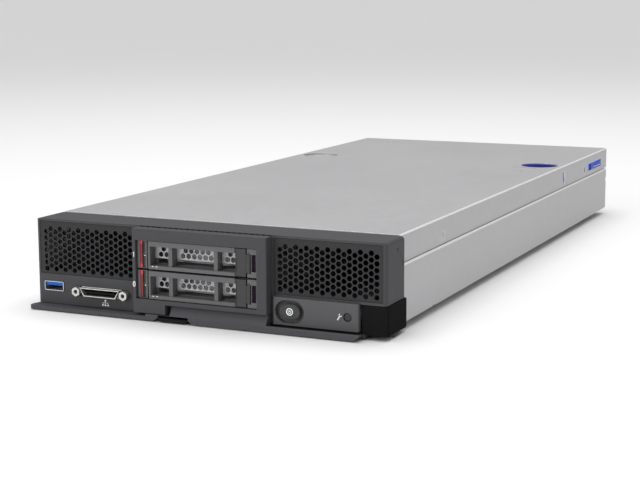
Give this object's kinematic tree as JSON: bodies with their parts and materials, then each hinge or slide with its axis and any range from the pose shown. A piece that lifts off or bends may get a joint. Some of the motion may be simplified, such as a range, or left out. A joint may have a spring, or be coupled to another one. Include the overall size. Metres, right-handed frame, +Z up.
{
  "type": "blade server",
  "caption": "Half-width blade server: steel tray with a sliding cover, black honeycomb bezel, pull-out drive trays, swing-out ejector handle, front ports and rear docking connectors.",
  "frame": {"origin": "centre of the footprint, on the surface it stands on", "axes": "+Z up, front faces -Y, +X to the right when facing the front"},
  "size_m": [0.217, 0.493, 0.052],
  "materials": {
    "galvanised_steel": "zinc-coated sheet, satin",
    "cover_steel": "zinc-coated sheet, satin",
    "bezel_black": "fine-grained, low sheen",
    "grille_black": "satin black",
    "panel_grey": "fine-grained dark grey",
    "handle_black": "fine-grained, low sheen",
    "tray_grey": "satin dark grey",
    "lever_black": "glossy",
    "touch_blue": "satin",
    "nickel": "nickel-plated",
    "screw_steel": "zinc-plated",
    "grille_silver": "bare stamped sheet",
    "usb_blue": "moulded",
    "connector_black": "moulded, glass-filled",
    "circuit_board": "solder mask, low gloss",
    "strip_red": "clear red light guide",
    "aluminium": "extruded, bare",
    "disk_case": "cast, bare",
    "package_metal": "nickel-plated lid"
  },
  "bodies": {
    "chassis": {"chassis_base": "galvanised_steel", "front_bezel": "bezel_black", "intake_grille_left": "grille_black", "intake_grille_right": "grille_black", "operator_panel": "panel_grey", "panel_board": "circuit_board", "usb_shell": "nickel", "usb_tongue": "usb_blue", "console_shell": "nickel", "console_insert": "connector_black", "console_jacks": "nickel", "front_io_board": "circuit_board", "handle_pin": "screw_steel", "drive_cage": "galvanised_steel", "drive_backplane": "circuit_board", "backplane_sockets": "connector_black", "system_board": "circuit_board", "board_standoffs": "screw_steel", "board_screws": "screw_steel", "processor_sockets": "connector_black", "processors": "package_metal", "heat_sinks": "aluminium", "memory_sockets": "connector_black", "memory_modules": "circuit_board", "chipset_sink": "aluminium", "coin_cell": "package_metal", "boot_module": "circuit_board", "io_cards": "circuit_board", "io_risers": "connector_black", "fabric_connectors": "connector_black", "power_connector": "connector_black", "guide_blocks": "aluminium", "rear_panel": "galvanised_steel", "bezel_screws": "screw_steel", "air_baffle": "bezel_black"},
    "cover": {"top_cover": "cover_steel", "touch_pad": "touch_blue"},
    "latch": {"cover_latch": "touch_blue"},
    "handle": {"front_handle": "handle_black", "handle_cam": "handle_black", "release_hinge_pin": "screw_steel"},
    "handle_tab": {"handle_release": "handle_black"},
    "power_key": {"power_button": "panel_grey"},
    "reset_key": {"reset_button": "panel_grey"},
    "drive_0": {"drive_tray_0": "tray_grey", "tray_grille_0": "grille_silver", "status_strip_0": "strip_red", "disk_0": "disk_case", "disk_screws_0": "screw_steel", "lever_pin_0": "screw_steel"},
    "lever_0": {"tray_lever_0": "lever_black"},
    "catch_0": {"tray_release_0": "panel_grey"},
    "drive_1": {"drive_tray_1": "tray_grey", "tray_grille_1": "grille_silver", "status_strip_1": "strip_red", "disk_1": "disk_case", "disk_screws_1": "screw_steel", "lever_pin_1": "screw_steel"},
    "lever_1": {"tray_lever_1": "lever_black"},
    "catch_1": {"tray_release_1": "panel_grey"}
  },
  "joints": [
    {"name": "cover_slide", "type": "slide", "parent": "chassis", "child": "cover", "axis": [0, 1, 0], "range_m": [0, 0.012]},
    {"name": "cover_latch_slide", "type": "slide", "parent": "cover", "child": "latch", "axis": [0, -1, 0], "range_m": [0, 0.006], "stiffness_N_per_m": 300, "springref_m": -0.003},
    {"name": "handle_pivot", "type": "hinge", "parent": "chassis", "child": "handle", "pos_m": [0.1025, -0.2245, 0.009], "axis": [0, 0, 1], "range_deg": [0, 60]},
    {"name": "handle_release_tilt", "type": "hinge", "parent": "handle", "child": "handle_tab", "pos_m": [-0.01475, -0.2355, 0.0013], "axis": [-1, 0, 0], "range_deg": [0, 4], "stiffness_Nm_per_rad": 0.3, "springref_deg": -5.73},
    {"name": "power_press", "type": "slide", "parent": "chassis", "child": "power_key", "axis": [0, 1, 0], "range_m": [0, 0.0012], "stiffness_N_per_m": 600, "springref_m": -0.001},
    {"name": "reset_press", "type": "slide", "parent": "chassis", "child": "reset_key", "axis": [0, 1, 0], "range_m": [0, 0.0008], "stiffness_N_per_m": 600, "springref_m": -0.001},
    {"name": "drive_slide_0", "type": "slide", "parent": "chassis", "child": "drive_0", "axis": [0, -1, 0], "range_m": [0, 0.1]},
    {"name": "drive_lever_0", "type": "hinge", "parent": "drive_0", "child": "lever_0", "pos_m": [0.0308, -0.2429, 0.0198], "axis": [0, 0, 1], "range_deg": [0, 55]},
    {"name": "drive_catch_0", "type": "slide", "parent": "drive_0", "child": "catch_0", "axis": [0, 1, 0], "range_m": [0, 0.001], "stiffness_N_per_m": 400, "springref_m": -0.001},
    {"name": "drive_slide_1", "type": "slide", "parent": "chassis", "child": "drive_1", "axis": [0, -1, 0], "range_m": [0, 0.1]},
    {"name": "drive_lever_1", "type": "hinge", "parent": "drive_1", "child": "lever_1", "pos_m": [0.0308, -0.2429, 0.0364], "axis": [0, 0, 1], "range_deg": [0, 55]},
    {"name": "drive_catch_1", "type": "slide", "parent": "drive_1", "child": "catch_1", "axis": [0, 1, 0], "range_m": [0, 0.001], "stiffness_N_per_m": 400, "springref_m": -0.001}
  ]
}
